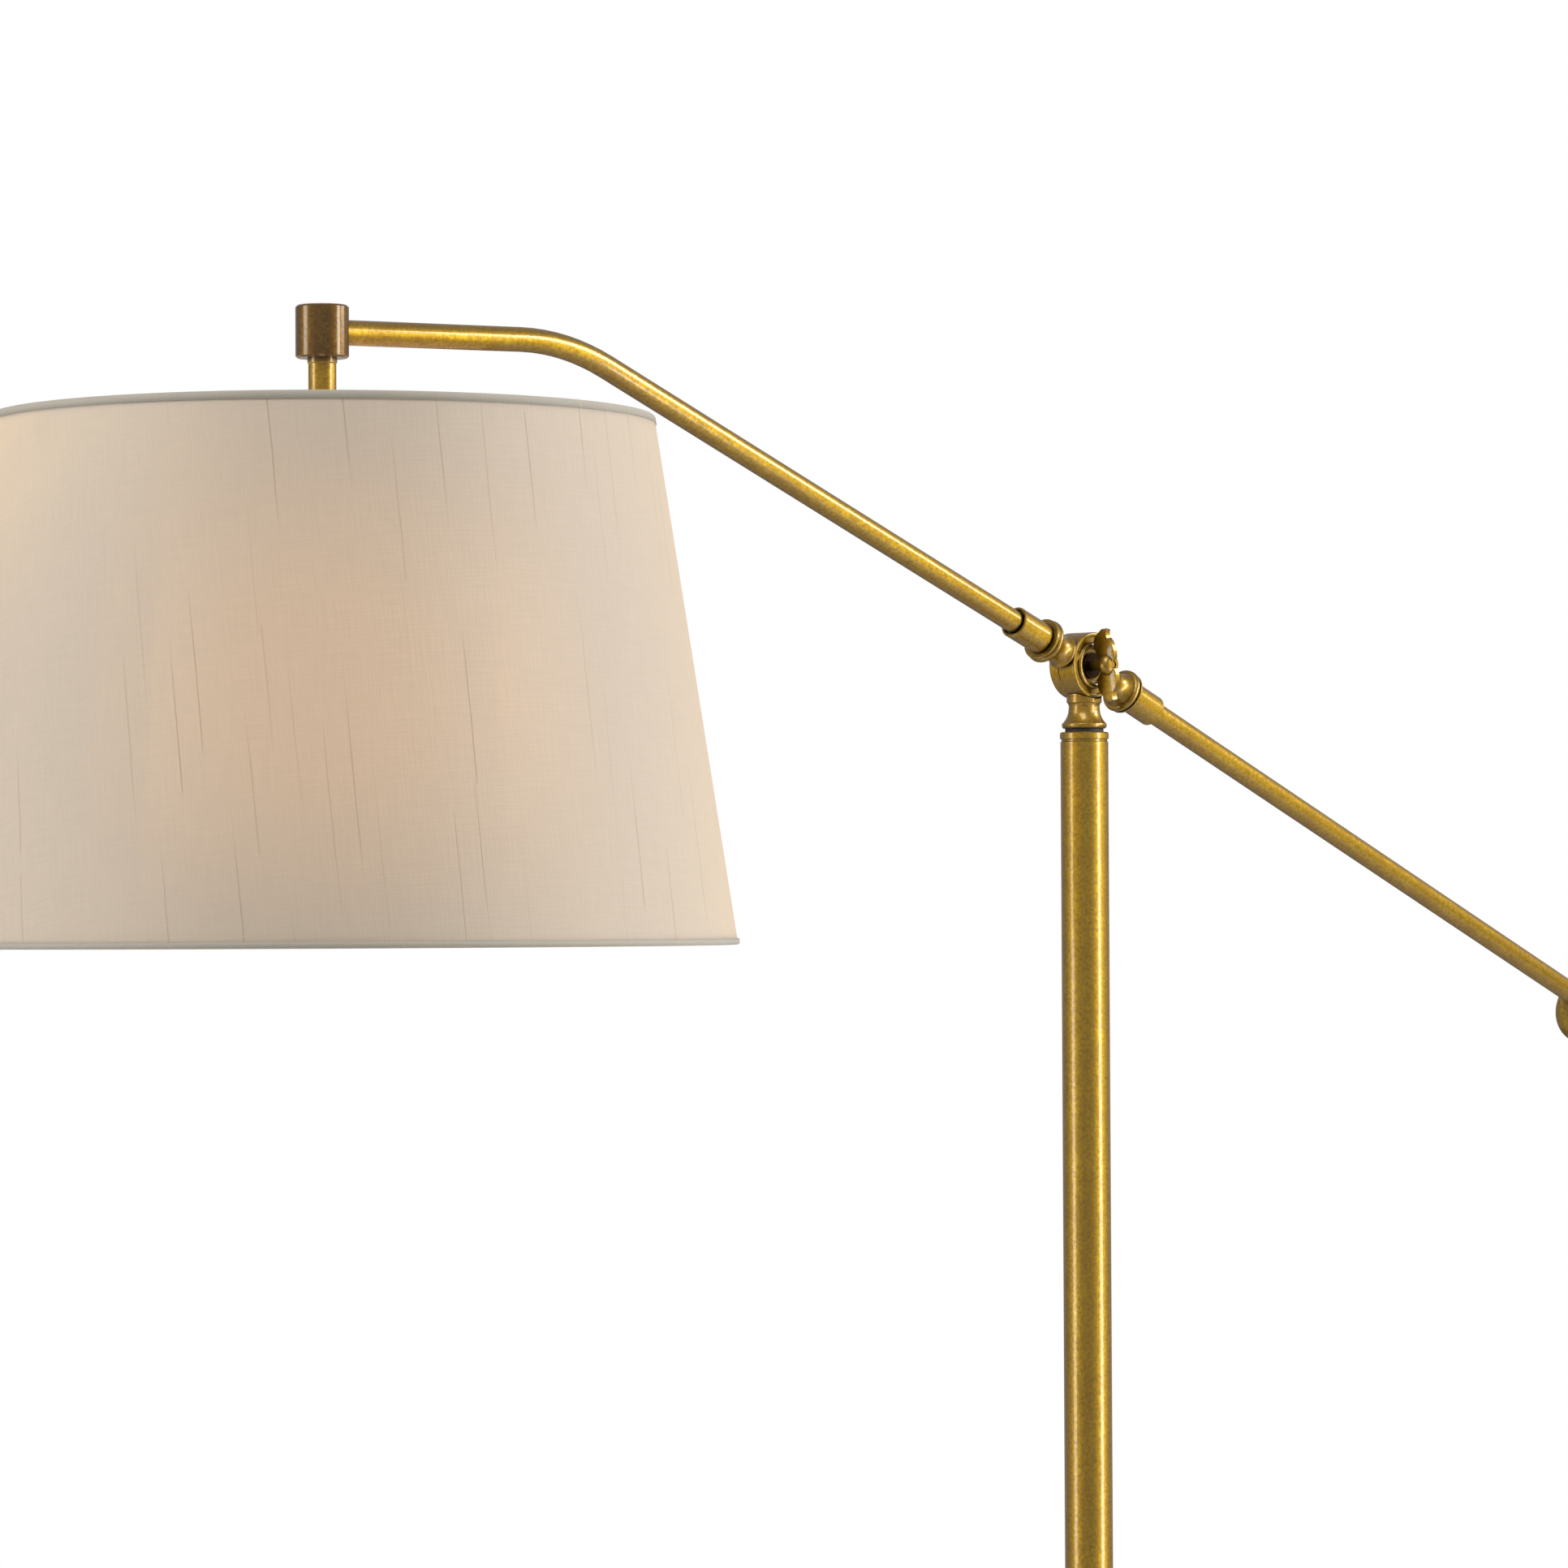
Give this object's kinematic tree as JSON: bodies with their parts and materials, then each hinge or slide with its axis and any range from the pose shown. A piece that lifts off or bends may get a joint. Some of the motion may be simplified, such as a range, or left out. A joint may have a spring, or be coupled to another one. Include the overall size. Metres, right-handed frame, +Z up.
{
  "type": "bridge floor lamp",
  "caption": "Bridge floor lamp: weighted round base, straight pole, tilting counterweighted arm on a wing-nut knuckle, fabric empire shade with lamp holder and bulb.",
  "frame": {"origin": "on the floor, at the centre of the base and on the pole's axis", "axes": "+Z up along the pole, -X towards the shade, +X towards the counterweight, -Y towards the wing nut of the knuckle"},
  "size_m": [1.2528, 0.386, 1.5038],
  "materials": {
    "antique_brass": "satin antique, mottled",
    "polished_brass": "bright",
    "steel": "zinc plated",
    "cast_iron": "as cast, painted",
    "felt": "pressed felt",
    "fibre": "vulcanised fibre",
    "shade_cloth": "slubbed silk weave",
    "shade_lining": "styrene backing",
    "shade_braid": "rolled edge",
    "wire": "brassed wire",
    "cardboard": "insulating liner",
    "black_plastic": "moulded phenolic",
    "bulb_metal": "bright",
    "bulb_glass": "frosted, lit"
  },
  "bodies": {
    "stand": {"felt_pad": "felt", "base_weight": "cast_iron", "base_cover": "antique_brass", "base_washer": "steel", "base_locknut": "steel", "base_tie": "steel", "cord_gland": "black_plastic", "pole_foot": "antique_brass", "foot_plug": "steel", "pole_lower": "antique_brass", "pole_joiner": "steel", "pole_upper": "antique_brass", "swivel_bush": "antique_brass", "swivel_washer": "fibre", "swivel_stop_screw": "steel"},
    "swivel": {"pole_neck": "antique_brass", "friction_disc": "fibre", "tilt_stop_pin": "steel", "pivot_bolt": "antique_brass"},
    "clamp": {"clamp_washer": "polished_brass"},
    "wing_nut": {"wing_nut": "antique_brass"},
    "arm": {"arm_drum": "antique_brass", "front_coupler": "antique_brass", "front_sleeve": "antique_brass", "front_arm_tube": "antique_brass", "rear_coupler": "antique_brass", "rear_sleeve": "antique_brass", "rear_arm_tube": "antique_brass", "counterweight": "antique_brass", "counterweight_screw": "steel", "end_finial": "antique_brass", "end_cap": "antique_brass", "head_stem": "antique_brass", "head_nipple": "polished_brass", "shade_fabric": "shade_cloth", "shade_liner": "shade_lining", "shade_top_trim": "shade_braid", "shade_bottom_trim": "shade_braid", "shade_bottom_ring": "wire", "shade_spider": "wire", "shade_washer": "polished_brass", "shade_locknut": "polished_brass", "holder_cap": "polished_brass", "holder_shell": "polished_brass", "holder_lining": "cardboard", "switch_block": "black_plastic", "centre_contact": "polished_brass", "screw_shell": "bulb_metal", "bulb_cap": "bulb_metal", "bulb_glass": "bulb_glass"},
    "knob": {"switch_spindle": "steel", "switch_knob": "black_plastic"}
  },
  "joints": [
    {"name": "swivel_turn", "type": "hinge", "parent": "stand", "child": "swivel", "pos_m": [0, 0, 1.31], "axis": [0, 0, 1], "range_deg": [-150, 150]},
    {"name": "arm_tilt", "type": "hinge", "parent": "swivel", "child": "arm", "pos_m": [0, 0, 1.35], "axis": [0, 1, 0], "range_deg": [-35, 12]},
    {"name": "clamp_slide", "type": "slide", "parent": "swivel", "child": "clamp", "axis": [0, -1, 0], "range_m": [0, 0.000875]},
    {"name": "wing_nut_turn", "type": "hinge", "parent": "clamp", "child": "wing_nut", "pos_m": [0, 0, 1.35], "axis": [0, -1, 0], "range_deg": [0, 450]},
    {"name": "switch_knob_turn", "type": "hinge", "parent": "arm", "child": "knob", "pos_m": [-0.548, -0.02, 1.39945], "axis": [0, -1, 0], "continuous": true}
  ],
  "couplings": [
    {"joint": "wing_nut_turn", "follows": "clamp_slide", "rad_per_m": 8976}
  ]
}
